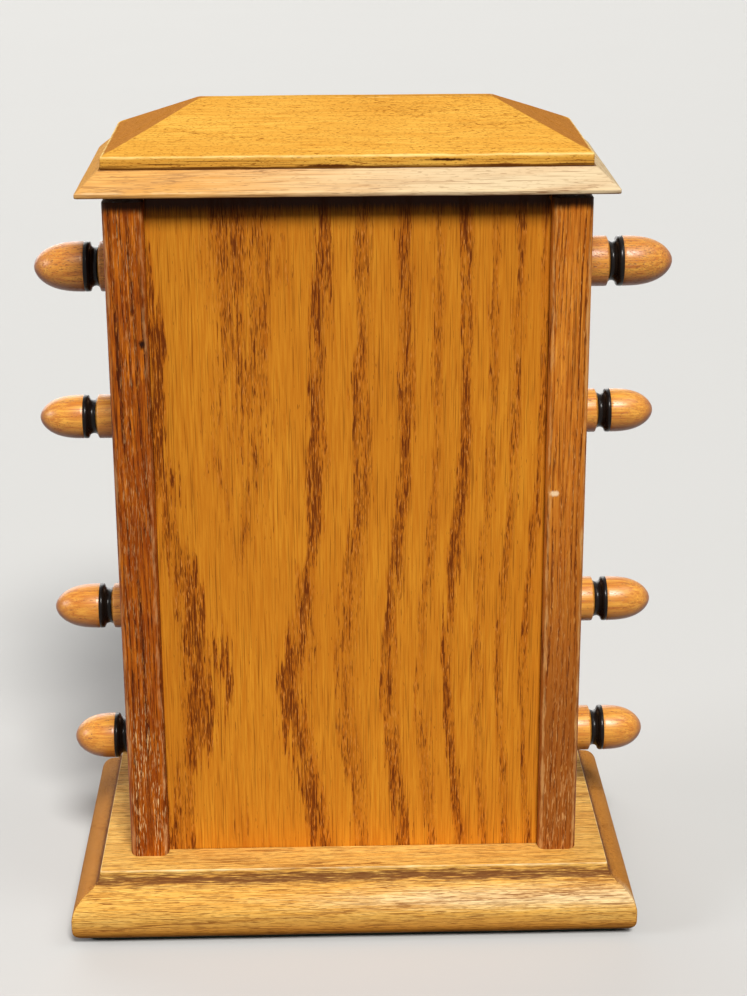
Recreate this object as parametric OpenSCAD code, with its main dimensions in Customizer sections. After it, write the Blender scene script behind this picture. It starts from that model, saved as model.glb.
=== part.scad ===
// Perpetual desk calendar in oak: a small case with four turned spindles.
// Millimetres, +Z up, +X to the right when seen from the front, the windowed
// front towards -Y. The origin is the middle of the foot, on the table.
// Top spindle: day drum. Two middle spindles: the date scroll. Bottom: month drum.

/* [Case] */
// Width over the outer faces of the side boards
case_w = 160; // [150:1:190]
// Depth of the side boards, front edge to rear edge
case_d = 78.5; // [76:0.5:100]
// Height from the top of the base to the underside of the lid
case_h = 239.5; // [238:0.5:280]
// Thickness of the side boards
side_t = 13.5; // [11:0.5:16]
// Radius of the rounded front and rear edges of the side boards
side_edge_r = 3; // [1:0.5:4.5]
// Gap between the tops of the side boards and the lid
side_top_gap = 2; // [0.5:0.5:4]
// How far the front and back panels sit behind the side boards' edges
panel_set = 4.8; // [4.6:0.1:5.4]
// Thickness of the front panel
front_t = 9; // [8.5:0.5:10]
// Thickness of the back panel
back_t = 7; // [5:0.5:9]
// Depth of the grooves that hold the panels
groove_d = 4; // [2:0.5:6]

/* [Base] */
// Height of the base, baize included
base_h = 25; // [22:0.5:30]
// Width of the flat ledge round the case, to the moulding's top edge
base_ledge = 10.3; // [4:0.1:16]
// How far the ogee moulding stands out beyond the ledge
mould_w = 9.9; // [8:0.1:11]
// Radius of the hollow at the top of the ogee
cove_r = 7; // [5:0.5:8]
// Angle that the hollow turns through before the belly starts
cove_turn = 65; // [60:1:75]
// Radius of the rounded toe of the base
toe_r = 4.5; // [2:0.5:5]
// Thickness of the baize under the base
baize_t = 2; // [0.8:0.1:2]

/* [Lid] */
// Reach of the lid beyond the sides of the case
lid_side_reach = 8; // [4:0.5:14]
// Reach of the lid beyond the front and rear edges of the case
lid_face_reach = 4.5; // [3:0.5:12]
// Thickness of the lower lid board, the one with the splayed edge
cornice_t = 7.8; // [6:0.2:12]
// Width of the splay
splay_w = 7.3; // [3:0.1:10]
// Height of the upright lip under the splay
lip_h = 1.6; // [1:0.1:3]
// Height of the upright edge of the raised top
fillet_h = 4; // [2:0.5:8]
// Rise of the four sloping faces
hip_rise = 13.8; // [8:0.2:18]
// Length of the narrow flat along the very top
ridge_l = 98.5; // [60:0.5:120]
// Width of the narrow flat along the very top
ridge_w = 6; // [2:0.5:30]

/* [Spindles] */
// Distance between the two spindles of the date scroll
date_span = 72; // [64:1:74]
// Distance from the day spindle to the upper date spindle
day_drop = 54; // [48:0.5:56]
// Distance from the lower date spindle to the month spindle
month_drop = 52; // [48:0.5:53]
// Height of the middle of the date scroll above the middle of the case
date_shift = -2.2; // [-3:0.1:0]
// Clearance all round between a spindle and the hole it turns in
bore_gap = 0.1; // [0.05:0.01:0.2]
// Room between the ends of a drum and the side boards, both ends together
drum_play = 11; // [8:0.5:20]
// Radius of the day and month drums, without their printed bands
drum_r = 22.2; // [20:0.1:22.6]
// Radius of the date rollers, without the wound scroll
roller_r = 19.5; // [16:0.1:20]
// Radius over the wound scroll with half of it on each roller
roll_r = 21; // [20.5:0.1:22]

/* [Windows] */
// Width of the day and month windows
word_window_w = 96; // [80:1:100]
// Height of the day window
day_window_h = 18; // [14:1:19]
// Height of the month window
month_window_h = 13; // [10:1:16]
// Width of the date window
date_window_w = 64; // [50:1:80]
// Height of the date window
date_window_h = 50; // [40:1:54]
// Width and depth of the bevel round each window
bevel = 4; // [2:0.5:4]
// Thickness of the glass
glass_t = 2; // [1.5:0.1:2]

/* [Hidden] */
$fn = 64;

// Heights and faces worked out from the driving dimensions.
case_top = base_h + case_h;
inside_half = case_w / 2 - side_t;
front_face = -case_d / 2 + panel_set;
front_inside = front_face + front_t;
back_face = case_d / 2 - panel_set;
back_inside = back_face - back_t;
ledge_x = case_w + 2 * base_ledge;
ledge_y = case_d + 2 * base_ledge;
lid_x = case_w + 2 * lid_side_reach;
lid_y = case_d + 2 * lid_face_reach;
lip_ease = 0.5;
raised_set = 0.7;
raised_x = lid_x - 2 * splay_w - 2 * raised_set;
raised_y = lid_y - 2 * splay_w - 2 * raised_set;
case_board_t = 7;
drum_l = 2 * inside_half - drum_play;

// Spindle heights, and the small differences that hand turning left.
date_z = base_h + case_h / 2 + date_shift;
upper_z = date_z + date_span / 2;
lower_z = date_z - date_span / 2;
day_z = upper_z + day_drop;
month_z = lower_z - month_drop;
// Each row: height of the axis, rod diameter, overall length,
// sideways shift within the end float, length of the acorn, width of the ring.
day_rod = [day_z, 17.4, case_w + 60.3, -2.4, 17.4, 2.1];
upper_rod = [upper_z, 15.5, case_w + 56.3, 0.4, 15.3, 1.8];
lower_rod = [lower_z, 16.2, case_w + 56.5, -1.2, 16.1, 1.8];
month_rod = [month_z, 16.6, case_w + 50.8, -3.0, 14.7, 1.8];
rods = [day_rod, upper_rod, lower_rod, month_rod];

// Turned detail shared by the eight acorns. An acorn's radius is its share of the rod's
// radius, times (1 - s ^ fullness) ^ power at the part s of its length.
neck_w = 3.4;
neck_share = 0.72;
neck_roundness = 0.6;
acorn_share = 0.99;
acorn_fullness = 2.6;
acorn_power = 0.55;
acorn_steps = 12;
neck_steps = 8;
shoulder = 0.5;

// Bands, scroll and pegs.
band_t = 0.4;
linen_w = drum_l - 14;
web_t = 0.35;
web_gap = 0.3;
peg_r = 1.5;
peg_inset = 8;
drum_edge = 0.8;

// Windows and glazing beads.
rebate_w = 3;
rebate_d = 4;

// Screws: shank radius, head radius, head height, slot width.
screw = [2.1, 4.1, 2.4, 1];
base_screw_l = base_h + 13;
lid_screw_l = case_board_t + cornice_t - 0.8;
screw_point = 3;
base_screw_y = 22;
lid_screw_x = 50;
lid_screw_y = 18;
block_leg = 8;
block_l = 40;
baize_inset = 0.6;

// ---- Moulded boards -------------------------------------------------------

// Closed cross-section of a board whose edge follows [reach, height] points.
function section(half, edge) = concat(
    [for (p = edge) [half + p[0], p[1]]],
    [for (i = [len(edge) - 1 : -1 : 0]) [-half - edge[i][0], edge[i][1]]]
);

// A board with moulded ends and sides, mitred where they meet at the corners.
module moulded_board(x, y, end_edge, side_edge) {
    far = 2 * max([for (p = concat(end_edge, side_edge)) p[0]]) + 2;
    intersection() {
        rotate([90, 0, 0])
            linear_extrude(y + far, center = true)
                polygon(section(x / 2, end_edge));
        rotate([90, 0, 90])
            linear_extrude(x + far, center = true)
                polygon(section(y / 2, side_edge));
    }
}

function arc(centre, r, from, to, steps) = [
    for (i = [0 : steps])
        let (a = from + (to - from) * i / steps)
            centre + r * [cos(a), sin(a)]
];

// The ogee: rounded toe, full belly, then a hollow up to the ledge.
hollow_end = [cove_r * (1 - cos(cove_turn)), base_h - cove_r * sin(cove_turn)];
belly_r = (mould_w - hollow_end[0]) / (1 - cos(cove_turn));
belly_centre = hollow_end - belly_r * [cos(cove_turn), sin(cove_turn)];
toe = min(toe_r, belly_centre[1] - baize_t - 0.2);
ogee = concat(
    arc([mould_w - toe, baize_t + toe], toe, -90, 0, 6),
    arc(belly_centre, belly_r, 0, cove_turn, 10),
    [for (i = [1 : 7])
        let (a = cove_turn * (1 - i / 7))
            [cove_r * (1 - cos(a)), base_h - cove_r * sin(a)]]
);

module base_board() {
    color("#c98a35")
        difference() {
            moulded_board(ledge_x, ledge_y, ogee, ogee);
            base_screw_places() screw_shape(base_screw_l);
        }
}

module base_baize() {
    flat_x = ledge_x + 2 * (mould_w - toe - baize_inset);
    flat_y = ledge_y + 2 * (mould_w - toe - baize_inset);
    color("#2f5a3c")
        translate([-flat_x / 2, -flat_y / 2, 0])
            cube([flat_x, flat_y, baize_t]);
}

module lid_cornice_board() {
    edge = [
        [-lip_ease, case_top],
        [0, case_top + lip_ease],
        [0, case_top + lip_h],
        [-splay_w, case_top + cornice_t]
    ];
    color("#d9a45c")
        difference() {
            moulded_board(lid_x, lid_y, edge, edge);
            lid_screw_places() screw_shape(lid_screw_l);
        }
}

// Upright edge, then a slope that ends run further in.
function hip_edge(run) =
    let (foot = case_top + cornice_t, ease = 0.4)
    [
        [0, foot],
        [0, foot + fillet_h - ease],
        [-ease, foot + fillet_h],
        [-run, foot + fillet_h + hip_rise]
    ];

module lid_top_board() {
    color("#e0a040")
        moulded_board(
            raised_x, raised_y,
            hip_edge((raised_x - ridge_l) / 2), hip_edge((raised_y - ridge_w) / 2)
        );
}

// ---- Case -----------------------------------------------------------------

// Plan of a side board: a strip with its four long edges rounded.
module side_plan() {
    square([side_t, case_d - 2 * side_edge_r], center = true);
    square([side_t - 2 * side_edge_r, case_d], center = true);
    for (sx = [-1, 1], sy = [-1, 1])
        translate([sx * (side_t / 2 - side_edge_r), sy * (case_d / 2 - side_edge_r)])
            circle(side_edge_r);
}

// side is -1 for the left board and 1 for the right one, seen from the front.
module side_board(side) {
    middle = side * (case_w / 2 - side_t / 2);
    color("#a8652a")
        difference() {
            translate([middle, 0, base_h])
                linear_extrude(case_h - side_top_gap) side_plan();
            // grooves for the two panels
            for (g = [[front_face, front_t], [back_inside, back_t]])
                translate([side * (inside_half + groove_d / 2), g[0] + g[1] / 2, base_h + case_h / 2])
                    cube([groove_d, g[1], case_h + 2], center = true);
            // holes that the spindles turn in
            for (rod = rods)
                translate([middle, 0, rod[0]])
                    rotate([0, 90, 0])
                        cylinder(h = side_t + 2, r = rod[1] / 2 + bore_gap, center = true);
            base_screw_places() screw_shape(base_screw_l);
        }
}

module panel_blank(y_low, t) {
    width = 2 * (inside_half + groove_d);
    translate([-width / 2, y_low, base_h]) cube([width, t, case_h]);
}

module back_panel() {
    color("#b9762c") panel_blank(back_inside, back_t);
}

module front_panel() {
    color("#b9762c")
        difference() {
            panel_blank(front_face, front_t);
            window_cut(word_window_w, day_window_h, day_z);
            window_cut(date_window_w, date_window_h, date_z);
            window_cut(word_window_w, month_window_h, month_z);
        }
}

// Sight opening, outer bevel and inner rebate of one window.
module window_cut(w, h, z) {
    throat = [
        [0, -1],
        [0, front_t - bevel],
        [bevel, front_t],
        [bevel, front_t + 1]
    ];
    translate([0, front_inside, z]) {
        rotate([90, 0, 0]) moulded_board(w, h, throat, throat);
        translate([0, -rebate_d / 2 + 0.5, 0])
            cube([w + 2 * rebate_w, rebate_d + 1, h + 2 * rebate_w], center = true);
    }
}

module window_glass(w, h, z) {
    color("#bcd0d2", 0.35)
        translate([0, front_inside - rebate_d + glass_t / 2, z])
            cube([w + 2 * rebate_w, glass_t, h + 2 * rebate_w], center = true);
}

// Four strips that hold a pane in its rebate, two long and two short.
module glass_beads(w, h, z) {
    bead_t = rebate_d - glass_t;
    color("#9c6028")
        translate([0, front_inside - bead_t / 2, z]) {
            for (s = [-1, 1]) {
                translate([0, 0, s * (h + rebate_w) / 2])
                    cube([w + 2 * rebate_w, bead_t, rebate_w], center = true);
                translate([s * (w + rebate_w) / 2, 0, 0])
                    cube([rebate_w, bead_t, h], center = true);
            }
        }
}

module case_top_board() {
    color("#a87038")
        difference() {
            translate([-inside_half, front_inside, case_top - case_board_t])
                cube([2 * inside_half, back_inside - front_inside, case_board_t]);
            lid_screw_places() screw_shape(lid_screw_l);
        }
}

// Three-cornered blocks glued in the angle between the base and each side.
module glue_blocks() {
    color("#c9a26a")
        for (side = [-1, 1])
            translate([side * inside_half, 0, base_h])
                rotate([90, 0, 0])
                    linear_extrude(block_l, center = true)
                        polygon([[0, 0], [-side * block_leg, 0], [0, block_leg]]);
}

// ---- Screws ---------------------------------------------------------------

// Countersunk wood screw pointing up, with its head's flat face at z = 0.
module screw_shape(l) {
    rotate_extrude()
        polygon([
            [0, 0], [screw[1], 0], [screw[0], screw[2]],
            [screw[0], l - screw_point], [0, l]
        ]);
}

module slotted_screw(l) {
    difference() {
        screw_shape(l);
        cube([2 * screw[1] + 1, screw[3], 2], center = true);
    }
}

module base_screw_places() {
    for (side = [-1, 1], y = [-base_screw_y, base_screw_y])
        translate([side * (case_w / 2 - side_t / 2), y, baize_t]) children();
}

module lid_screw_places() {
    for (x = [-lid_screw_x, lid_screw_x], y = [-lid_screw_y, lid_screw_y])
        translate([x, y, case_top - case_board_t]) children();
}

module base_screws() {
    color("#8d8a80") base_screw_places() slotted_screw(base_screw_l);
}

module lid_screws() {
    color("#8d8a80") lid_screw_places() slotted_screw(lid_screw_l);
}

// ---- Spindles, drums and scroll -------------------------------------------

// Outline of one turned end, from the plain rod to the tip, as [radius, distance].
function turned_end(rod) =
    let (
        r = rod[1] / 2,
        tip = rod[2] / 2,
        nut = tip - rod[4],
        ring = nut - rod[5],
        neck = ring - neck_w,
        dip = r * (1 - neck_share)
    )
    concat(
        [[r, neck - shoulder]],
        [for (i = [0 : neck_steps])
            let (s = i / neck_steps)
                [r - shoulder / 2 - (dip - shoulder / 2) * pow(sin(180 * s), neck_roundness),
                    neck + neck_w * s]],
        [[r, ring + rod[5] * 0.3], [r, ring + rod[5] * 0.75], [r * acorn_share, nut]],
        [for (i = [1 : acorn_steps])
            let (s = sin(90 * i / acorn_steps))
                [r * acorn_share * pow(max(0, 1 - pow(s, acorn_fullness)), acorn_power),
                    nut + rod[4] * s]]
    );

// Outline of the whole spindle, the same at both ends.
function spindle_outline(rod) =
    let (end = turned_end(rod))
    concat([for (i = [len(end) - 1 : -1 : 0]) [end[i][0], -end[i][1]]], end);

// Places children on the axis of a spindle, with their Z along the row's X.
module on_axis(rod) {
    translate([rod[3], 0, rod[0]]) rotate([0, 90, 0]) children();
}

module peg_holes(rod) {
    for (s = [-1, 1])
        translate([rod[3] + s * (drum_l / 2 - peg_inset), 0, rod[0]])
            children();
}

module spindle(rod) {
    color("#b5763a")
        difference() {
            on_axis(rod) rotate_extrude() polygon(spindle_outline(rod));
            peg_holes(rod) cylinder(h = 2 * drum_r, r = peg_r, center = true);
        }
}

// A turned drum with eased ends, bored for its spindle.
module drum(rod, r) {
    color("#d8b98a")
        difference() {
            on_axis(rod)
                rotate_extrude()
                    polygon([
                        [rod[1] / 2, -drum_l / 2],
                        [r - drum_edge, -drum_l / 2],
                        [r, -drum_l / 2 + drum_edge],
                        [r, drum_l / 2 - drum_edge],
                        [r - drum_edge, drum_l / 2],
                        [rod[1] / 2, drum_l / 2]
                    ]);
            peg_holes(rod) cylinder(h = 3 * drum_r, r = peg_r, center = true);
        }
}

// Pegs through drum and spindle that make them turn as one.
module pegs(rod, r) {
    color("#c59a5c")
        peg_holes(rod) cylinder(h = 2 * r - 2, r = peg_r, center = true);
}

// A sleeve of printed paper or wound linen round a drum.
module sleeve(z, x, r_in, r_out) {
    translate([x, 0, z])
        rotate([0, 90, 0])
            difference() {
                cylinder(h = linen_w, r = r_out, center = true);
                cylinder(h = linen_w + 2, r = r_in, center = true);
            }
}

module paper_band(rod) {
    color("#efe6cf") sleeve(rod[0], rod[3], drum_r, drum_r + band_t);
}

module linen_roll(rod) {
    color("#efe6cf") sleeve(rod[0], 0, roller_r, roll_r);
}

// The stretch of the date scroll that hangs between the two rolls.
module date_web() {
    color("#efe6cf")
        translate([-linen_w / 2, -roll_r - web_gap - web_t, lower_z])
            cube([linen_w, web_t, date_span]);
}

// ---- Nodes ----------------------------------------------------------------

base_board();
base_baize();
base_screws();
side_board(-1);  // left_side_board
side_board(1);  // right_side_board
front_panel();
back_panel();
case_top_board();
glue_blocks();
lid_cornice_board();
lid_top_board();
lid_screws();
window_glass(word_window_w, day_window_h, day_z);  // day_glass
window_glass(date_window_w, date_window_h, date_z);  // date_glass
window_glass(word_window_w, month_window_h, month_z);  // month_glass
glass_beads(word_window_w, day_window_h, day_z);  // day_glass_beads
glass_beads(date_window_w, date_window_h, date_z);  // date_glass_beads
glass_beads(word_window_w, month_window_h, month_z);  // month_glass_beads
date_web();
spindle(day_rod);  // day_spindle
drum(day_rod, drum_r);  // day_drum
paper_band(day_rod);  // day_band
pegs(day_rod, drum_r);  // day_pegs
spindle(upper_rod);  // upper_spindle
drum(upper_rod, roller_r);  // upper_roller
linen_roll(upper_rod);  // upper_roll
pegs(upper_rod, roller_r);  // upper_pegs
spindle(lower_rod);  // lower_spindle
drum(lower_rod, roller_r);  // lower_roller
linen_roll(lower_rod);  // lower_roll
pegs(lower_rod, roller_r);  // lower_pegs
spindle(month_rod);  // month_spindle
drum(month_rod, drum_r);  // month_drum
paper_band(month_rod);  // month_band
pegs(month_rod, drum_r);  // month_pegs
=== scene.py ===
import math

import bmesh
import bpy
import numpy as np
from mathutils import Matrix, Vector


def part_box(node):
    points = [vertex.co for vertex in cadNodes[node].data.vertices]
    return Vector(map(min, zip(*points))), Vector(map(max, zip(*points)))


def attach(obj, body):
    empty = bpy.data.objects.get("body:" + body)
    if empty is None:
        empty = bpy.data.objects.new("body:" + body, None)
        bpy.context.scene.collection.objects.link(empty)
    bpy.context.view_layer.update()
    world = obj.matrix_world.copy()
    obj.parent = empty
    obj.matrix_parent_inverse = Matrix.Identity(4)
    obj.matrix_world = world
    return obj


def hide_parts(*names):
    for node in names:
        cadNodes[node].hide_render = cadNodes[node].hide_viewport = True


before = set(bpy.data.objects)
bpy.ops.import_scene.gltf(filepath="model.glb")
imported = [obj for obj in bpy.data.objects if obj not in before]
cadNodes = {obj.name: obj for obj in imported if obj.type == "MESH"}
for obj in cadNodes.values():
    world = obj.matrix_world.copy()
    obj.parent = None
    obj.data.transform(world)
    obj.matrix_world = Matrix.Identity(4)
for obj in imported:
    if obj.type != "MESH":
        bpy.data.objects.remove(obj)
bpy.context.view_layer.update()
print("frame loaded:", len(cadNodes), "pieces")

# Lengths in this file are millimetres; addPiece turns them into metres.
mm = 0.001


def boxOf(node):
    # lowest and highest corner of a piece of the frame, in millimetres
    low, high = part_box(node)
    return np.array(low) / mm, np.array(high) / mm


# Camera
cameraSet = {
    "place": (9.5, 716.9, 399.0),
    "aim": (-8.68, 0.0, 146.58),
    "roll": -0.28,  # degrees, clockwise is positive
    "lens": 76.57,
    "sensor": 36.0,
    "farthest": 50,  # metres
}


def makeCamera():
    # stands at its place, looks at its aim and then rolls round that line
    data = bpy.data.cameras.new("camera")
    data.lens = cameraSet["lens"]
    data.sensor_width = cameraSet["sensor"]
    data.clip_end = cameraSet["farthest"]
    camera = bpy.data.objects.new("camera", data)
    place = Vector(cameraSet["place"]) * mm
    look = Vector(cameraSet["aim"]) * mm - place
    turn = look.to_track_quat("-Z", "Y").to_matrix().to_4x4()
    roll = Matrix.Rotation(math.radians(cameraSet["roll"]), 4, "Z")
    camera.matrix_world = Matrix.Translation(place) @ turn @ roll
    bpy.context.scene.collection.objects.link(camera)
    bpy.context.scene.camera = camera


makeCamera()
bpy.context.scene.view_settings.view_transform = "Standard"
print("camera placed")


# Shader nodes
def feed(node, given):
    # each named input of a node takes a value or listens to another node's socket
    for key, value in given.items():
        if isinstance(value, bpy.types.NodeSocket):
            node.id_data.links.new(value, node.inputs[key])
        else:
            node.inputs[key].default_value = value


def addNode(tree, kind, given=None, **settings):
    # one shader node with its settings and what its inputs are given
    made = tree.nodes.new(kind)
    for key, value in settings.items():
        setattr(made, key, value)
    feed(made, given or {})
    return made


def follow(kind, given, **settings):
    # one shader node in the tree of the sockets that it listens to, and its results
    tree = next(value.id_data for value in given.values() if isinstance(value, bpy.types.NodeSocket))
    return addNode(tree, kind, given, **settings).outputs


def calc(operation, *values):
    # one step of arithmetic
    return follow("ShaderNodeMath", dict(enumerate(values)), operation=operation)[0]


def plus(first, second):
    # first and second added
    return calc("ADD", first, second)


def minus(first, second):
    # first less second
    return calc("SUBTRACT", first, second)


def times(product, *others):
    # two or more values multiplied
    for other in others:
        product = calc("MULTIPLY", product, other)
    return product


def vectorCalc(operation, given):
    # one step of arithmetic with directions or places
    return follow("ShaderNodeVectorMath", given, operation=operation)[0]


def ramp(value, low, high, start=0.0, end=1.0):
    # smooth step from start to end while value goes from low to high
    return follow("ShaderNodeMapRange", {
        "Value": value, "From Min": low, "From Max": high, "To Min": start, "To Max": end,
    }, interpolation_type="SMOOTHSTEP")["Result"]


def stretched(vector, across, along):
    # coordinates divided by a width across the grain and a length along it
    size = addNode(vector.id_data, "ShaderNodeCombineXYZ", {"X": across, "Y": across, "Z": along})
    return vectorCalc("DIVIDE", {0: vector, 1: size.outputs[0]})


def noise(vector, across, along, seed, detail=2.0, rough=0.5):
    # smooth noise in patches of this width across the grain and this length along it
    return follow("ShaderNodeTexNoise", {
        "Vector": stretched(vector, across, along), "W": seed, "Scale": 1.0, "Detail": detail,
        "Roughness": rough,
    }, noise_dimensions="4D")


def cloud(*given):
    # the same noise as one number, mostly from 0.3 to 0.7
    return noise(*given)["Fac"]


def attribute(tree, label):
    # a value that makePiece stored on the points of the surface
    return addNode(tree, "ShaderNodeAttribute", attribute_name=label).outputs["Fac"]


def bump(height, strength, depth):
    # raised and sunk surface, to a depth in millimetres
    return follow("ShaderNodeBump", {"Height": height, "Strength": strength, "Distance": depth * mm})[0]


def blendColours(share, first, second):
    # first where the share is 0, second where it is 1
    given = {0: share, 6: first, 7: second}
    for place in (6, 7):
        if not isinstance(given[place], bpy.types.NodeSocket):
            given[place] = (*given[place], 1.0)
    return follow("ShaderNodeMix", given, data_type="RGBA")[2]


def newGroup(name, inputs, results):
    # an empty shader group, with the names of its inputs and results
    group = bpy.data.node_groups.new(name, "ShaderNodeTree")
    for labels, side in ((inputs, "INPUT"), (results, "OUTPUT")):
        for label in labels:
            kind = "NodeSocketVector" if label in ("vector", "centre") else "NodeSocketFloat"
            group.interface.new_socket(name=label, in_out=side, socket_type=kind)
    given = group.nodes.new("NodeGroupInput").outputs
    return group, given, group.nodes.new("NodeGroupOutput")


def useGroup(group, values):
    # a shader group whose inputs take the values of the same names
    names = [socket.name for socket in group.interface.items_tree if socket.in_out == "INPUT"]
    return follow("ShaderNodeGroup", {name: values[name] for name in names}, node_tree=group)


def grainSpace(tree, along="Z", pith=(0, 0, 0)):
    # object coordinates in millimetres, turned so that the grain runs along Z, pith at the origin
    place = addNode(tree, "ShaderNodeTexCoord").outputs["Object"]
    place = vectorCalc("SCALE", {0: place, "Scale": 1 / mm})
    moved = vectorCalc("SUBTRACT", {0: place, 1: pith})
    turn = (0.0, math.radians(-90) if along == "X" else 0.0, 0.0)
    return follow("ShaderNodeMapping", {"Vector": moved, "Rotation": turn})[0]


def emptyMaterial(name):
    # a new material, its node tree and its surface shader
    made = bpy.data.materials.new(name)
    made.use_nodes = True
    return made, made.node_tree, made.node_tree.nodes["Principled BSDF"]


# Oak, wear and grime
grainSet = {
    "drift": (32.0, 95.0),    # width and length of the slow noise that bends the rings
    "driftReach": 4.0,        # how far it bends them, for each unit of bend
    # waves in a ring's edge: width, length, seed, reach as a part of a ring
    "waves": ((5.0, 38.0, 3.1, 0.45), (1.0, 17.0, 4.3, 0.6)),
    "bandStart": (0.0, 0.12),     # where the band of pores begins and ends, as parts of a ring
    "bandEnd": (0.26, 0.6),
    "faintest": 0.6,          # strength of the faintest band
    # pores: width, length over the board's own, seed, limit of the noise, how much a band
    # lowers it, darkness
    "pores": ((0.4, 1.0, 0.0, 0.78, 0.29, 1.0), (0.28, 0.45, 5.3, 0.73, 0.23, 0.8)),
    "poreEdge": 0.06,
}


def makeOakGrain():
    # Growth rings round a pith that runs along local Z. A ring's number is the distance from
    # the pith over the ring width, bent by slow noise, plus a bell curve of height that draws
    # the rings together at the waist. Each ring starts with a ragged band of open pores.
    group, given, end = newGroup("oakGrain", (
        "vector", "ringWidth", "ringStart", "uneven", "bend", "taper", "waist", "waistHeight",
        "waistReach", "poreLength", "poreWidth", "openPores", "hair", "bands", "seed",
    ), ("band", "pores", "flecks", "fibre", "tone"))
    place, seed = given["vector"], given["seed"]

    def grainCloud(across, along, shift, detail=2.0, rough=0.5):
        # noise of its own for each board and use
        return cloud(place, across, along, plus(seed, shift), detail, rough)

    drift = noise(place, *grainSet["drift"], seed, 1.5)["Color"]
    drift = vectorCalc("SUBTRACT", {0: drift, 1: (0.5, 0.5, 0.5)})
    reach = times(given["bend"], grainSet["driftReach"])
    drift = vectorCalc("SCALE", {0: drift, "Scale": reach})
    bent = vectorCalc("ADD", {0: place, 1: drift})
    x, y, z = follow("ShaderNodeSeparateXYZ", {0: bent})
    radius = plus(calc("SQRT", plus(times(x, x), times(y, y))), times(z, given["taper"]))
    above = calc("DIVIDE", minus(z, given["waistHeight"]), given["waistReach"])
    bell = calc("POWER", math.e, times(above, above, -1.0))
    radius = plus(radius, times(bell, given["waist"]))
    rings = calc("DIVIDE", minus(radius, given["ringStart"]), given["ringWidth"])
    for across, along, shift, reach in grainSet["waves"]:
        wave = minus(grainCloud(across, along, shift), 0.5)
        rings = plus(rings, times(wave, reach))
    # rings of uneven width: slow noise of the ring's own number
    uneven = follow("ShaderNodeTexNoise", {
        "W": plus(times(rings, 0.55), seed), "Detail": 0.0, "Scale": 1.0,
    }, noise_dimensions="1D")["Fac"]
    rings = plus(rings, times(minus(uneven, 0.5), given["uneven"]))
    part = calc("FRACT", rings)
    faintest = grainSet["faintest"]
    strength = follow("ShaderNodeTexWhiteNoise", {"W": plus(calc("FLOOR", rings), seed)},
                      noise_dimensions="1D")["Value"]
    strength = plus(times(strength, 1 - faintest), faintest)
    patchy = ramp(grainCloud(3.0, 24.0, 7.7), 0.32, 0.58, 0.45, 1.0)
    band = times(ramp(part, *grainSet["bandStart"]), ramp(part, *grainSet["bandEnd"], 1.0, 0.0),
                 strength, patchy, given["bands"])
    # pores: long thin cells, dark where the noise passes a limit that the band lowers
    rich = calc("MAXIMUM", band, given["openPores"])
    pores = 0.0
    for width, length, shift, limit, lowered, dark in grainSet["pores"]:
        cells = grainCloud(times(given["poreWidth"], width), times(given["poreLength"], length),
                           shift, 0.6)
        past = minus(cells, minus(limit, times(rich, lowered)))
        found = times(ramp(past, 0.0, grainSet["poreEdge"]), dark)
        pores = calc("MAXIMUM", pores, found)
    hair = times(ramp(grainCloud(0.32, 20.0, 13.0, 1.0), 0.55, 0.72), given["hair"])
    flecks = times(ramp(grainCloud(0.45, 3.0, 9.1, 1.0), 0.55, 0.68), band, minus(1.0, pores))
    feed(end, {
        "band": band, "pores": calc("MAXIMUM", pores, hair), "flecks": flecks,
        "fibre": grainCloud(times(given["poreWidth"], 0.8), 16.0, 11.0, 3.0, 0.6),
        "tone": grainCloud(22.0, 60.0, 17.0, 1.0)})
    return group


def makeEdgeWear():
    # Rubbed edges: the arris value of the surface, broken up by noise.
    group, given, end = newGroup(
        "edgeWear", ("vector", "arris", "wearAmount", "broken", "seed"), ("mask",))
    rough = minus(cloud(given["vector"], 2.2, 11.0, given["seed"], 3.0, 0.65), 0.5)
    raised = plus(times(given["arris"], 0.75), times(rough, given["broken"]))
    mask = times(ramp(raised, 0.4, 1.0), given["wearAmount"], ramp(given["arris"], 0.0, 0.3))
    feed(end, {"mask": mask})
    return group


def makePaintedShadeAndStain():
    # Stain and wax left in hollows, and painted shade under overhangs and in corners: the value stored on
    # the surface, with ragged streaks.
    group, given, end = newGroup(
        "hollowStain", ("vector", "hollow", "stainAmount", "ragged", "streak", "seed"), ("mask",))
    streaks = cloud(given["vector"], 0.45, given["streak"], given["seed"], 3.0, 0.7)
    raised = plus(given["hollow"], times(minus(streaks, 0.5), given["ragged"]))
    feed(end, {"mask": times(ramp(raised, 0.35, 0.95), given["stainAmount"])})
    return group


def makeKnot():
    # A small dark knot: full inside half its size, with a noisy edge.
    group, given, end = newGroup("smallKnot", ("vector", "centre", "width", "height"), ("mask",))
    away = vectorCalc("SUBTRACT", {0: given["vector"], 1: given["centre"]})
    part = stretched(away, given["width"], given["height"])
    far = follow("ShaderNodeVectorMath", {0: part}, operation="LENGTH")["Value"]
    rough = times(cloud(given["vector"], 0.8, 1.6, 2.0, 2.0), 0.9)
    feed(end, {"mask": ramp(plus(far, rough), 0.75, 1.35, 1.0, 0.0)})
    return group


oakGrain = makeOakGrain()
edgeWear = makeEdgeWear()
hollowStain = makePaintedShadeAndStain()
smallKnot = makeKnot()

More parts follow.
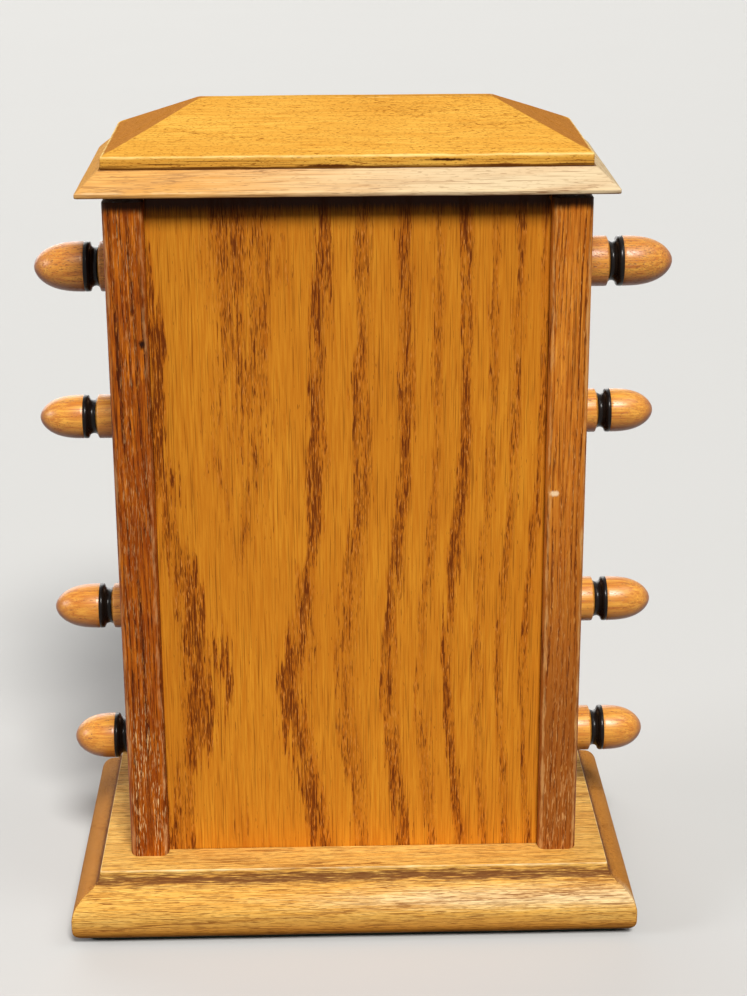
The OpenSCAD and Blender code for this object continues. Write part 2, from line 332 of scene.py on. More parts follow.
# What a piece of wood has where its own settings say nothing else. Sizes are in millimetres,
# shares and amounts go from 0 to 1.
oakSet = {
    "along": "Z",           # the way the grain runs
    "ringStart": 0.0,
    "uneven": 1.0,          # unevenness of the rings' width
    "taper": 0.03,
    "waist": 0.0,           # how far the rings draw together, at which height and reach
    "waistHeight": 0.0,
    "waistReach": 55.0,
    "poreWidth": 1.0,
    "openPores": 0.0,       # pores between the bands
    "hair": 0.5,
    "bands": 1.0,
    "band": (0.25, 0.07, 0.01),
    "pore": (0.08, 0.02, 0.004),
    "fleck": None,
    "bandShare": 0.8,
    "poreShare": 0.85,
    "blotch": 0.0,
    "fades": (),            # axis, start, end, tint, amount
    "deepened": None,       # tints of the places where makePiece is given these values
    "rubbed": None,
    "worn": (0.8, 0.6, 0.35),
    "wearAmount": 0.6,
    "broken": 2.4,
    # stain in hollows and painted shade under overhangs and in corners
    "stainAmount": 0.0,
    "ragged": 1.5,
    "streak": 12.0,
    "limed": 0.0,
    "knots": (),            # centre, width, height, tint
    "gloss": 0.3,
    "ebony": False,
}
woodSet = {
    # each layer's own noise
    "seeds": {"wax": 21.0, "waxPlace": 23.0, "wear": 31.0, "stain": 41.0, "ink": 51.0, "blotch": 61.0},
    "darker": 0.68,         # the deep fibres of a tint, over the tint
    "tintShare": 0.92,
    "waxFoot": (55.0, 110.0),    # heights between which the wax fades at the foot and the head
    "waxHead": (205.0, 245.0),
    "waxTop": 0.4,          # shares of the wax at the head and in the middle
    "waxLeast": 0.3,
    "fleckShare": 0.7,
    "poreRough": 0.22,      # how much rougher pores and pale fibres are
    "fibreRough": 0.12,
    "fibreHeight": 0.25,    # over the depth of a pore
    "ink": ((0.004, 0.003, 0.003), (0.012, 0.008, 0.006)),
    "inkRough": 0.24,
    "inkGloss": 0.3,        # gloss of the ink over the gloss of the wood
}


def oakMaterial(name, **own):
    # Layers from below: fibres, tints (among them painted shade and a painted sheen), bands, flecks, pores,
    # wax, knots, worn edges, stain and painted shade, ink.
    oak = {**oakSet, **own}
    made, tree, shader = emptyMaterial(name)
    space = oak["vector"] = grainSpace(tree, oak["along"], oak["pith"])
    seeds = {layer: oak["seed"] + shift for layer, shift in woodSet["seeds"].items()}
    grain = useGroup(oakGrain, oak)
    pores, fibre = grain["pores"], grain["fibre"]
    streaks = minus(fibre, 0.5)
    colour = blendColours(ramp(fibre, 0.3, 0.72), oak["deep"], oak["light"])

    def cover(share, tint):
        # lays a tint over the colour so far
        nonlocal colour
        colour = blendColours(share, colour, tint)

    cover(ramp(grain["tone"], 0.35, 0.68, 0.45, 0.0), oak["deep"])
    if oak["blotch"]:
        patches = ramp(cloud(space, 3.0, 11.0, seeds["blotch"], 3.0, 0.6), 0.42, 0.66)
        cover(times(patches, oak["blotch"]), oak["deep"])
    board = follow("ShaderNodeSeparateXYZ", {0: grainSpace(tree)})
    for axis, start, end, tint, amount in oak["fades"]:
        # the tint grows evenly along an axis of the row, with streaks at its edge
        place = follow("ShaderNodeMapRange", {"Value": board[axis], "From Min": start, "From Max": end})[0]
        cover(ramp(plus(place, times(streaks, 0.5)), 0.0, 1.0, 0.0, amount), tint)
    # deeper colour, partly painted shade, and a painted sheen, where makePiece stored them
    for label in ("deepened", "rubbed"):
        tint = oak[label]
        if tint:
            mask = plus(attribute(tree, label), times(streaks, 0.8))
            dark = [c * woodSet["darker"] for c in tint]
            grained = blendColours(ramp(fibre, 0.32, 0.68), dark, tint)
            cover(times(ramp(mask, 0.1, 1.0), woodSet["tintShare"]), grained)
    cover(times(grain["band"], oak["bandShare"]), oak["band"])
    if oak["fleck"]:
        cover(times(grain["flecks"], woodSet["fleckShare"]), oak["fleck"])
    cover(times(pores, oak["poreShare"]), oak["pore"])
    if oak["limed"]:
        # some pores hold old pale wax, mostly near the ends of the board
        waxed = ramp(cloud(space, 0.36, 5.0, seeds["wax"], 2.0, 0.65), 0.54, 0.64)
        where = ramp(cloud(space, 4.0, 45.0, seeds["waxPlace"]), 0.4, 0.6)
        foot = ramp(board[2], *woodSet["waxFoot"], 1.0, 0.0)
        head = ramp(board[2], *woodSet["waxHead"], 0.0, woodSet["waxTop"])
        most = calc("MAXIMUM", woodSet["waxLeast"], plus(foot, head))
        cover(times(waxed, where, most, oak["limed"]), oak["limedColour"])
    for centre, width, height, tint in oak["knots"]:
        knot = {"vector": space, "centre": centre, "width": width, "height": height}
        cover(useGroup(smallKnot, knot)["mask"], tint)
    edges = {**oak, "arris": attribute(tree, "arris"), "seed": seeds["wear"]}
    cover(useGroup(edgeWear, edges)["mask"], oak["worn"])
    # stain in hollows, and painted shade under overhangs and in corners
    if oak["stainAmount"]:
        hollows = {**oak, "hollow": attribute(tree, "hollow"), "seed": seeds["stain"]}
        cover(useGroup(hollowStain, hollows)["mask"], oak["stain"])
    fibreRough = times(minus(fibre, 0.5), woodSet["fibreRough"])
    roughness = plus(plus(times(pores, woodSet["poreRough"]), fibreRough), oak["rough"])
    height = minus(times(fibre, woodSet["fibreHeight"]), pores)
    gloss = oak["gloss"]
    if oak["ebony"]:
        mask = attribute(tree, "ebony")
        plain = minus(1.0, mask)
        cover(mask, blendColours(cloud(space, 1.2, 1.2, seeds["ink"]), *woodSet["ink"]))
        roughness = plus(times(mask, woodSet["inkRough"]), times(plain, roughness))
        gloss = times(calc("MAXIMUM", plain, woodSet["inkGloss"]), gloss)
        height = times(height, plain)
    feed(shader, {"Base Color": colour, "Roughness": roughness, "Specular IOR Level": gloss,
                  "Normal": bump(height, 0.6, oak["relief"])})
    return made


# Meshes
def addPiece(name, points, faces, labels, weld, body, material):
    # a mesh with values on its points, its normals outwards; points closer than weld are joined
    mesh = bpy.data.meshes.new(name)
    mesh.from_pydata((points * mm).tolist(), [], faces)
    for label, values in labels.items():
        if values.any():
            mesh.attributes.new(label, "FLOAT", "POINT").data.foreach_set("value", values)
    shell = bmesh.new()
    shell.from_mesh(mesh)
    if weld:
        bmesh.ops.remove_doubles(shell, verts=shell.verts, dist=weld * mm)
    bmesh.ops.recalc_face_normals(shell, faces=shell.faces)
    shell.to_mesh(mesh)
    shell.free()
    mesh.materials.append(material)
    piece = bpy.data.objects.new(name, mesh)
    bpy.context.scene.collection.objects.link(piece)
    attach(piece, body)
    return piece


def makePiece(name, parts, body, material, node, sharp=35.0):
    # joins surface patches into one closed mesh; each part is (points, faces, values on the
    # points), and edges sharper than the given degrees stay sharp
    points, faces, labels, start = [], [], {}, 0
    for partPoints, partFaces, values in parts:
        points.append(partPoints)
        for quadSet in partFaces:
            faces.extend((np.asarray(quadSet) + start).tolist())
        for label in ("arris", "hollow", "ebony", "rubbed", "deepened"):
            value = np.broadcast_to(values.get(label, 0.0), len(partPoints))
            labels.setdefault(label, []).append(value.astype(np.float32))
        start += len(partPoints)
    labels = {label: np.concatenate(values) for label, values in labels.items()}
    piece = addPiece(name, np.concatenate(points), faces, labels, 0.002, body, material)
    piece.data.shade_smooth()
    piece.data.set_sharp_from_angle(angle=math.radians(sharp))
    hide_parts(node)
    return piece


def loopQuads(rows, columns):
    # faces of a grid of rows of points, each row a closed loop
    row = np.arange(rows - 1)[:, None] * columns
    column = np.arange(columns)[None, :]
    following = (column + 1) % columns
    quads = np.stack([row + column, row + following, row + columns + following, row + columns + column], -1)
    return quads.reshape(-1, 4)


def lathe(along, radii, height, segments):
    # a surface turned round a line along X at this height, and the angle of each of its points
    angle = np.arange(segments) * 2 * math.pi / segments
    x, reach = np.repeat(along, segments), np.repeat(radii, segments)
    around = np.tile(angle, len(along))
    points = np.stack([x, reach * np.cos(around), height + reach * np.sin(around)], -1)
    return points, [loopQuads(len(along), segments)], around


ringSteps = {"straight": (28, 14), "corner": 4}    # points along X and Y and round a corner


def roundedRings(halfX, halfY, corner):
    # rings of a rectangle with rounded corners, one for each row of half sizes:
    # four straight runs and four quarter circles, anticlockwise
    halves = halfX[:, None], halfY[:, None]
    runs = []
    for side in range(4):
        turn = side * math.pi / 2
        length, away = halves[side % 2] - corner, halves[1 - side % 2]
        along = np.linspace(-1, 1, ringSteps["straight"][side % 2] + 1)[None, :] * length
        outward = -away + 0 * along
        angle = np.linspace(-90, 0, ringSteps["corner"] + 1)[None, 1:-1] * math.pi / 180
        along = np.concatenate([along, length + corner * np.cos(angle)], 1)
        outward = np.concatenate([outward, -away + corner + corner * np.sin(angle)], 1)
        runs.append(np.stack([along * math.cos(turn) - outward * math.sin(turn),
                              along * math.sin(turn) + outward * math.cos(turn)], -1))
    return np.concatenate(runs, 1)


def mouldedBoard(halfX, halfY, profile, corner, wobble=0.0):
    # profile rows: growX, growY, z, arris, and the value of stain in hollows and painted shade. The rings
    # are closed by a flat face at each end.
    grown = np.asarray(profile, float)
    rings = roundedRings(halfX + grown[:, 0], halfY + grown[:, 1], corner)
    rows, columns = rings.shape[:2]
    height = np.broadcast_to(grown[:, 2][:, None], (rows, columns)).copy()
    points = np.concatenate([rings, height[..., None]], -1)
    # hand-planed edges: a few hundredths of a millimetre of slow waviness
    wave = np.sin(points[..., 0] / 17.0 + 1.3) + np.sin(points[..., 0] / 7.3 + points[..., 1] / 9.1)
    points[1:-1, :, 2] += wobble * wave[1:-1] * (np.abs(grown[1:-1, 0]) > 0.01)[:, None]
    points[..., 2] = np.clip(points[..., 2], grown[:, 2].min(), grown[:, 2].max())
    caps = np.stack([np.arange(columns)[::-1], (rows - 1) * columns + np.arange(columns)])
    values = {"arris": np.repeat(grown[:, 3], columns), "hollow": np.repeat(grown[:, 4], columns)}
    return points.reshape(-1, 3), [loopQuads(rows, columns), caps], values


def ringOf(pLines, qLines):
    # the outline points of a block of grid lines, anticlockwise from its lowest corner
    low = np.stack([pLines, np.full(len(pLines), qLines[0])], -1)
    right = np.stack([np.full(len(qLines) - 1, pLines[-1]), qLines[1:]], -1)
    high = np.stack([pLines[-2::-1], np.full(len(pLines) - 1, qLines[-1])], -1)
    left = np.stack([np.full(len(qLines) - 2, pLines[0]), qLines[-2:0:-1]], -1)
    return np.concatenate([low, right, high, left])


def openBoard(pLines, qLines, edge, openings, place, hollow=None):
    # A board of two flat faces joined by an edge and by its openings. The last argument gives the
    # painted shade in the corners of the outer face, a function of p and q.
    # edge rows: growP, growQ, depth, arris. Each opening is a block of grid lines and rows of
    # shape, half sizes, depth, arris, from the outer face to the inner one.
    # place maps (p, q, depth) arrays to x, y, z.
    pLines, qLines = np.asarray(pLines, float), np.asarray(qLines, float)
    countQ = len(qLines)
    free = np.ones((len(pLines) - 1, countQ - 1), bool)
    for (p0, p1, q0, q1), _ in openings:
        free[p0:p1, q0:q1] = False
    cells = np.argwhere(free)
    corner = cells[:, 0] * countQ + cells[:, 1]
    quads = np.stack([corner, corner + countQ, corner + countQ + 1, corner + 1], -1)
    used, quads = np.unique(quads, return_inverse=True)
    grid = np.stack(np.meshgrid(pLines, qLines, indexing="ij"), -1).reshape(-1, 2)[used]
    stains = [hollow(grid[:, 0], grid[:, 1]) if hollow else 0.0, 0.0]
    parts = []
    for depth, stain in zip((edge[0][2], edge[-1][2]), stains):
        parts.append((place(grid[:, 0], grid[:, 1], np.full(len(grid), depth)),
                      [quads.reshape(-1, 4)], {"hollow": stain}))

    def addWall(rings, depths, arrises):
        # a wall of rings of points, each ring at its depth
        count = rings.shape[1]
        flat = rings.reshape(-1, 2)
        parts.append((place(flat[:, 0], flat[:, 1], np.repeat(depths, count)),
                      [loopQuads(len(rings), count)], {"arris": np.repeat(arrises, count)}))

    outline = ringOf(pLines, qLines)
    middle, half = (outline.min(0) + outline.max(0)) / 2, (outline.max(0) - outline.min(0)) / 2
    rows = np.array(edge, float)
    scale = (half + rows[:, None, :2]) / half
    addWall(middle + (outline[None] - middle) * scale, rows[:, 2], rows[:, 3])
    for (p0, p1, q0, q1), rows in openings:
        around = ringOf(pLines[p0:p1 + 1], qLines[q0:q1 + 1])
        centre, reach = (around.min(0) + around.max(0)) / 2, (around.max(0) - around.min(0)) / 2
        angle = math.radians(-135) + np.arange(len(around)) * 2 * math.pi / len(around)
        shapes = {"window": (around - centre) / reach,
                  "round": np.stack([np.cos(angle), np.sin(angle)], -1)}
        rings = [around if shape == "block" else centre + shapes[shape] * np.array([sizeP, sizeQ])
                 for shape, sizeP, sizeQ, _, _ in rows]
        addWall(np.stack(rings), [row[3] for row in rows], [row[4] for row in rows])
    return parts


print("tools ready")

# Base
baseSet = {
    "ledge": 10.3,        # flat round the case
    "coveRadius": 7.0,    # hollow under the ledge's edge
    "coveTurn": 65.0,     # degrees that the hollow turns through
    "toeRadius": 4.5,
    "corner": 0.7,
    "arris": 0.35,        # rounding of the sharp top edge
    "stainAt": (0.42, 0.31),    # middle and spread of the stain, and of the painted shade under the ledge's edge, as parts of the hollow
    "crown": (0.4, 0.16),       # where the painted sheen lies on the belly, as parts of the way down
    "sheenFrom": 60.0,      # X where the painted sheen starts
    "sheenRun": 90.0,       # and how far it takes to reach its full strength
    "rubbed": 0.75,
    "endGrainAndShade": 0.8,      # deeper colour of the two ends: end grain, and painted shade on the ends
    "wobble": 0.03,
}


def baseProfile(low, high, reach):
    # from the ledge outwards and down: eased edge, hollow, belly (both arcs of circles), toe
    turn = math.radians(baseSet["coveTurn"])
    cove, ease, toe = baseSet["coveRadius"], baseSet["arris"], baseSet["toeRadius"]
    middle, spread = baseSet["stainAt"]
    belly = (reach - cove * (1 - math.cos(turn))) / (1 - math.cos(turn))
    rows = [(-2.5, high, 0.0, 0.0), (-ease * 1.5, high, 0.3, 0.0),
            (-ease * 0.5, high - ease * 0.12, 1.0, 0.0)]
    for angle in np.linspace(math.radians(4), turn, 12):
        share = angle / turn
        # stain in the hollow, with painted shade right under the ledge's edge
        stain = 0.9 * math.exp(-((share - middle) / spread) ** 2) + 0.2 * share
        rows.append((cove * (1 - math.cos(angle)), high - cove * math.sin(angle),
                     max(0.0, 1 - share * 4), stain))
    centreU = cove * (1 - math.cos(turn)) - belly * math.cos(turn)
    centreZ = high - cove * math.sin(turn) - belly * math.sin(turn)
    for angle in np.linspace(turn, 0, 16)[1:]:
        rows.append((centreU + belly * math.cos(angle), centreZ + belly * math.sin(angle),
                     0.0, 0.15 * max(0.0, (angle / turn - 0.3) / 0.7)))
    for angle in np.linspace(0, -math.pi / 2, 10):
        rows.append((reach - toe + toe * math.cos(angle), low + toe + toe * math.sin(angle), 0.0, 0.0))
    return [(u, u, z, arris, hollow) for u, z, arris, hollow in rows]


# lighter than the upright boards: its own tone, and partly painted light on its upward faces
oakBase = oakMaterial(
    "oakBase", along="X", pith=(0, 30, -62), ringWidth=5.2, bend=2.2, taper=0.05, poreLength=6.5,
    poreWidth=0.55, openPores=0.62, hair=1.0, seed=2.0, light=(0.9, 0.61, 0.175),
    deep=(0.66, 0.32, 0.055), band=(0.5, 0.2, 0.03), pore=(0.19, 0.06, 0.012), bandShare=0.35,
    poreShare=0.8, worn=(0.95, 0.76, 0.42), wearAmount=0.9, broken=0.9, blotch=0.25,
    stain=(0.12, 0.035, 0.012), stainAmount=0.9, ragged=3.0, streak=9.0, rubbed=(0.88, 0.68, 0.38),
    deepened=(0.5, 0.17, 0.016), rough=0.45, gloss=0.02, relief=0.08)


def makeBase():
    # the moulding runs round the case, a ledge away from it
    low, high = boxOf("base_board")
    case = boxOf("left_side_board")[0]
    halfX, halfY = -case[0] + baseSet["ledge"], -case[1] + baseSet["ledge"]
    profile = baseProfile(low[2], high[2], high[0] - halfX)
    board = mouldedBoard(halfX, halfY, profile, baseSet["corner"], baseSet["wobble"])
    points, _, values = board
    down = (high[2] - points[:, 2]) / (high[2] - low[2])
    # painted sheen on the belly along the back, most towards the right end; the colour deepens towards the
    # toe
    middle, spread = baseSet["crown"]
    crown = np.exp(-((down - middle) / spread) ** 2) * (points[:, 1] > halfY)
    strength = np.clip((baseSet["sheenFrom"] - points[:, 0]) / baseSet["sheenRun"], 0, 1)
    values["rubbed"] = baseSet["rubbed"] * crown * strength
    values["deepened"] = np.clip((down - 0.5) / 0.45, 0, 1) ** 1.2
    # end grain takes more stain, and the deeper ends also paint their shade
    ends = np.abs(points[:, 0]) - halfX > np.abs(points[:, 1]) - halfY + 0.2
    values["deepened"] += baseSet["endGrainAndShade"] * (ends & (points[:, 2] < high[2] - 0.1))
    makePiece("baseBoard", [board], "case", oakBase, "base_board")


makeBase()


# Baize under the base
baizeSet = {
    "corner": 3.0,
    "edge": 0.35,
    "dark": (0.006, 0.014, 0.009),
    "light": (0.02, 0.05, 0.028),
}


def feltMaterial():
    # short nap from dark to light, with patches that are darker
    made, tree, shader = emptyMaterial("baizeGreen")
    space = grainSpace(tree)
    nap = cloud(space, 0.25, 0.25, 3.0, 4.0, 0.7)
    patch = ramp(cloud(space, 9.0, 9.0, 5.0), 0.4, 0.7, 0.0, 0.35)
    colour = blendColours(ramp(nap, 0.3, 0.7), baizeSet["dark"], baizeSet["light"])
    feed(shader, {"Base Color": blendColours(patch, colour, baizeSet["dark"]),
                  "Normal": bump(nap, 0.8, 0.15), "Roughness": 0.95, "Sheen Weight": 0.3})
    return made


def makeBaize():
    # a flat pad with an eased lower edge
    low, high = boxOf("base_baize")
    ease = baizeSet["edge"]
    rows = [(-ease, -ease, low[2], 0, 0), (-ease * 0.3, -ease * 0.3, low[2] + ease * 0.3, 0, 0),
            (0, 0, low[2] + ease, 0, 0), (0, 0, high[2], 0, 0)]
    board = mouldedBoard(high[0], high[1], rows, baizeSet["corner"])
    piece = makePiece("baizePad", [board], "case", feltMaterial(), "base_baize")


makeBaize()
print("base made")

# Lid
lidSet = {
    "lip": 1.6,          # upright edge under the splay
    "splay": 7.3,
    "ease": 0.45,
    "corner": 0.6,
    "ridgeLength": 98.5,
    "ridgeWidth": 6.0,
    "upright": 4.0,      # edge of the raised top
    "wobble": 0.035,
}

# painted sheen: the fade pales the splay towards -X
oakCornice = oakMaterial(
    "oakCornice", along="X", pith=(0, 20, 215), ringWidth=4.0, bend=2.5, taper=0.06, poreLength=6.0,
    poreWidth=0.8, openPores=0.3, hair=0.9, seed=4.0, light=(0.75, 0.42, 0.13),
    deep=(0.6, 0.29, 0.075), band=(0.46, 0.23, 0.09), pore=(0.25, 0.12, 0.05), bands=0.7,
    bandShare=0.5, poreShare=0.75, worn=(0.82, 0.6, 0.33), wearAmount=0.4,
    stain=(0.12, 0.036, 0.01), stainAmount=0.9, ragged=1.2, blotch=0.3,
    fades=[(0, 70.0, -50.0, (0.65, 0.54, 0.35), 0.85)], rough=0.45, gloss=0.0, relief=0.08)

# lighter than the upright boards: its own tone, and partly painted light on its upward faces
# the long thin knots are cracks in the upright edge
oakLid = oakMaterial(
    "oakLid", along="X", pith=(0, -14, 238), ringWidth=4.6, bend=2.0, taper=0.05, poreLength=2.2,
    poreWidth=0.8, openPores=0.45, hair=0.3, bands=0.7, seed=6.0, light=(0.75, 0.43, 0.075),
    deep=(0.62, 0.29, 0.04), band=(0.54, 0.21, 0.018), pore=(0.25, 0.075, 0.006), bandShare=0.3,
    worn=(0.95, 0.72, 0.28), wearAmount=0.9, stain=(0.1, 0.03, 0.005), stainAmount=0.95,
    ragged=2.6, streak=26.0, broken=0.9, deepened=(0.5, 0.2, 0.045),
    knots=[((-36.8, 49.8, -31.4), 0.65, 12.0, (0.05, 0.014, 0.004)),
           ((-34.9, 49.8, -52.0), 0.9, 9.0, (0.2, 0.06, 0.01)),
           ((-35.1, 49.8, 5.7), 0.9, 15.0, (0.09, 0.025, 0.005))],
    rough=0.5, gloss=0.0, relief=0.06)


def makeCornice():
    # from below: a small eased lip, then a straight splay up to the raised top
    low, high = boxOf("lid_cornice_board")
    ease, splay, foot = lidSet["ease"], lidSet["splay"], low[2]
    brow = foot + lidSet["lip"]
    # the hollow values darken the lip under the splay and the corner under the raised top: stain, and
    # painted shade under the overhang
    rows = [(-6.0, foot, 0, 0), (-ease, foot, 0, 1.0), (-ease * 0.3, foot + ease * 0.3, 0, 0.9),
            (0, foot + ease, 0, 0.6), (0, brow - ease, 0.2, 0.45),
            (-ease * 0.15, brow - ease * 0.2, 1.0, 0.35), (-ease * 0.6, brow + ease * 0.3, 1.0, 0)]
    rows += [(-splay * share, brow + (high[2] - brow) * share, 0, 0) for share in (0.15, 0.35, 0.6, 0.85)]
    rows += [(-splay + 0.15, high[2] - 0.15, 0.2, 0.35), (-splay - 0.1, high[2], 0.1, 0.8),
             (-splay - 2, high[2], 0, 1)]
    rows = [(u, u, z, arris, hollow) for u, z, arris, hollow in rows]
    board = mouldedBoard(high[0], high[1], rows, lidSet["corner"], lidSet["wobble"])
    makePiece("lidCornice", [board], "case", oakCornice, "lid_cornice_board")


def makeLidTop():
    # from below: an upright edge, then four straight slopes up to a flat ridge
    low, high = boxOf("lid_top_board")
    runX, runY = high[0] - lidSet["ridgeLength"] / 2, high[1] - lidSet["ridgeWidth"] / 2
    ease, foot, top = lidSet["ease"], low[2], high[2]
    brow = foot + lidSet["upright"]
    # the hollow values darken the foot of the upright edge, where it stands on the cornice
    rows = [(-2, -2, foot, 0, 1), (-0.15, -0.15, foot, 0, 1), (0, 0, foot + 0.15, 0, 1.0),
            (0, 0, foot + 1.2, 0, 0.5), (0, 0, brow - 1.3, 0, 0.4), (0, 0, brow - ease, 0.8, 0.0),
            (-ease * 0.2, -ease * 0.2, brow - ease * 0.25, 1, 0), (-ease, -ease, brow + ease * 0.2, 1, 0)]
    for share in (0.06, 0.15, 0.3, 0.5, 0.7, 0.9, 0.975):
        rows.append((-runX * share, -runY * share, brow + (top - brow) * share, 0, 0))
    rows += [(-runX, -runY, top - 0.12, 0.7, 0), (-runX - 0.8, -runY - 0.8, top, 0.5, 0),
             (-runX - 2, -runY - 2, top, 0, 0)]
    board = mouldedBoard(high[0], high[1], rows, lidSet["corner"], lidSet["wobble"])
    # painted shade: the two end slopes are a little deeper in colour
    grown = np.repeat([row[0] for row in rows], len(board[0]) // len(rows))[:, None]
    outward = np.abs(board[0][:, :2]) - high[:2] - grown
    ends = (np.abs(outward[:, 0]) < 0.01) & (outward[:, 1] < -lidSet["corner"] * 1.5)
    board[2]["deepened"] = ends.astype(float)
    makePiece("lidTop", [board], "case", oakLid, "lid_top_board")


makeCornice()
makeLidTop()
print("lid made")

# Side boards
sideSet = {
    "edgeRadius": 3.0,
    "endEase": 0.5,
    "holePatch": 12.0,    # half of the square of fine faces round a hole
    "clearance": 0.1,
    "rim": 0.25,
    "holeSteps": 16,
    "shade": 4.5,         # reach of the painted shadow under the lid
}
spindles = ("day_spindle", "upper_spindle", "lower_spindle", "month_spindle")
# the stain colour and amount here paint only the shadow under the lid
postWood = dict(
    taper=0.02, poreLength=6.0, poreWidth=0.75, hair=0.9, bandShare=0.85, wearAmount=0.5,
    stain=(0.03, 0.008, 0.002), stainAmount=0.95, ragged=0.8, rough=0.42, gloss=0.08, relief=0.1)

# the board on the right as the back is looked at: lighter, orange, with a small chip
oakLeft = oakMaterial(
    "oakLeftSide", pith=(-150, 26, 0), ringWidth=1.9, bend=1.4, openPores=0.2, seed=9.0,
    light=(0.8, 0.31, 0.035), deep=(0.46, 0.12, 0.01), band=(0.26, 0.055, 0.004),
    pore=(0.09, 0.015, 0.002), fleck=(0.78, 0.38, 0.1), worn=(0.8, 0.45, 0.16),
    blotch=0.5, limed=0.6, limedColour=(0.78, 0.42, 0.15),
    fades=[(2, 190.0, 60.0, (0.3, 0.085, 0.012), 0.95)],
    knots=[((81.0, 13.3, 161), 2.6, 1.5, (0.88, 0.62, 0.36))], **postWood)

# the board on the left as the back is looked at: darker and redder, with a small knot
oakRight = oakMaterial(
    "oakRightSide", pith=(150, 22, 0), ringWidth=2.1, bend=1.6, openPores=0.25, seed=12.0,
    light=(0.66, 0.185, 0.01), deep=(0.25, 0.043, 0.003), band=(0.11, 0.016, 0.002),
    pore=(0.05, 0.008, 0.001), fleck=(0.62, 0.22, 0.03), poreShare=0.9, worn=(0.68, 0.34, 0.13),
    blotch=0.7, limed=1.0, limedColour=(0.8, 0.5, 0.22),
    knots=[((-81.5, 16.5, 215), 1.8, 2.8, (0.02, 0.005, 0.002))], **postWood)


def sideEdge(radius, ease, thick):
    # a quarter of a circle from the outer face, and another to the inner one; most worn halfway
    edge = []
    for angle in np.linspace(0, math.pi / 2, 7):
        depth = radius * (1 - math.cos(angle))
        edge.append((radius * math.sin(angle), ease * math.sin(angle), depth, abs(math.sin(2 * angle)) ** 3))
    return edge + [(growP, growQ, thick - depth, worn) for growP, growQ, depth, worn in edge[::-1]]


def makeSide(node, name, material, side):
    # side is -1 or 1: which way the outer face looks along X
    low, high = boxOf(node)
    radius, ease, rim = sideSet["edgeRadius"], sideSet["endEase"], sideSet["rim"]
    flatY, thick = high[1] - radius, high[0] - low[0]
    patch, steps = sideSet["holePatch"], sideSet["holeSteps"]
    across = np.concatenate([np.linspace(-flatY, -patch, 5)[:-1], np.linspace(-patch, patch, steps + 1),
                             np.linspace(patch, flatY, 5)[1:]])
    up, openings = [np.array([low[2] + ease])], []
    for rodLow, rodHigh in sorted((boxOf(rod) for rod in spindles), key=lambda box: box[0][2]):
        centre, start = (rodLow[2] + rodHigh[2]) / 2, len(np.concatenate(up)) + 3
        up.append(np.linspace(up[-1][-1], centre - patch, 5)[1:-1])
        up.append(np.linspace(centre - patch, centre + patch, steps + 1))
        hole = (rodHigh[1] - rodLow[1]) / 2 + sideSet["clearance"]
        rows = [("block", 0, 0, 0, 0)]
        for size, depth, arris in ((hole + rim, 0, 0.5), (hole, rim, 0.5), (hole, thick - rim, 0),
                                   (hole + rim, thick, 0)):
            rows.append(("round", size, size, depth, arris))
        rows.append(("block", 0, 0, thick, 0))
        openings.append(((4, 4 + steps, start, start + steps), rows))
    up += [np.linspace(up[-1][-1], high[2] - 10, 3)[1:], high[2] - np.array([7, 5, 3.5, 2, ease])]
    outer = high[0] if side > 0 else low[0]
    parts = openBoard(across, np.concatenate(up), sideEdge(radius, ease, thick), openings,
                      lambda p, q, d: np.stack([outer - side * d, p, q], -1))
    for points, _, values in parts:
        # painted shadow under the lid
        values["hollow"] = np.exp(-((high[2] - points[:, 2]) / sideSet["shade"]) ** 2)
    makePiece(name, parts, "case", material, node)


makeSide("left_side_board", "leftSide", oakLeft, -1)
makeSide("right_side_board", "rightSide", oakRight, 1)
print("side boards made")

# Back and front panels
panelSet = {
    "ease": 0.3,
    "gap": 0.1,           # between a panel's ends and the base and lid
    "bevel": 4.0,         # round a window
    "margin": 1.0,
    "rebate": 3.0,        # room for the glass
    "rebateDepth": 4.0,
    # reach of the painted shade under the lid, beside the posts and over the base, and its strengths
    "shade": (8.0, 2.2, 2.0),
    "shadeShare": (1.2, 0.5),
}
panelWood = dict(
    ringWidth=6.4, poreLength=6.5, pore=(0.11, 0.018, 0.001), fleck=(0.72, 0.28, 0.05),
    poreShare=0.9, rough=0.42, relief=0.08)

# the stain colour and amount of this board paint the shade under the lid, beside the posts and over the base
oakBack = oakMaterial(
    "oakBack", pith=(38, -46, 0), ringStart=84.1, uneven=0.35, bend=1.0, taper=0.0, waist=3.5,
    waistHeight=92, poreWidth=0.8, hair=0.6, blotch=0.2, seed=15.0, light=(0.69, 0.275, 0.02),
    deep=(0.53, 0.17, 0.01), band=(0.36, 0.08, 0.003), bandShare=0.75, worn=(0.6, 0.3, 0.1),
    wearAmount=0.2, stain=(0.03, 0.007, 0.001), stainAmount=1.0, ragged=0.6, gloss=0.1, **panelWood)

oakFront = oakMaterial(
    "oakFront", pith=(-20, 50, 0), uneven=0.5, bend=1.5, taper=0.04, seed=18.0,
    light=(0.66, 0.245, 0.012), deep=(0.50, 0.15, 0.006), band=(0.34, 0.078, 0.003),
    bandShare=0.85, worn=(0.7, 0.4, 0.15), wearAmount=0.4, gloss=0.2, **panelWood)


def panelEdge(thick):
    # a small ease at the outer face, then straight to the inner one
    ease = panelSet["ease"]
    return [(0, 0, 0, 0), (ease * 0.7, 0.07, ease * 0.3, 0.5), (ease, 0.1, ease, 0.3),
            (ease, 0.1, thick, 0), (0, 0, thick, 0)]


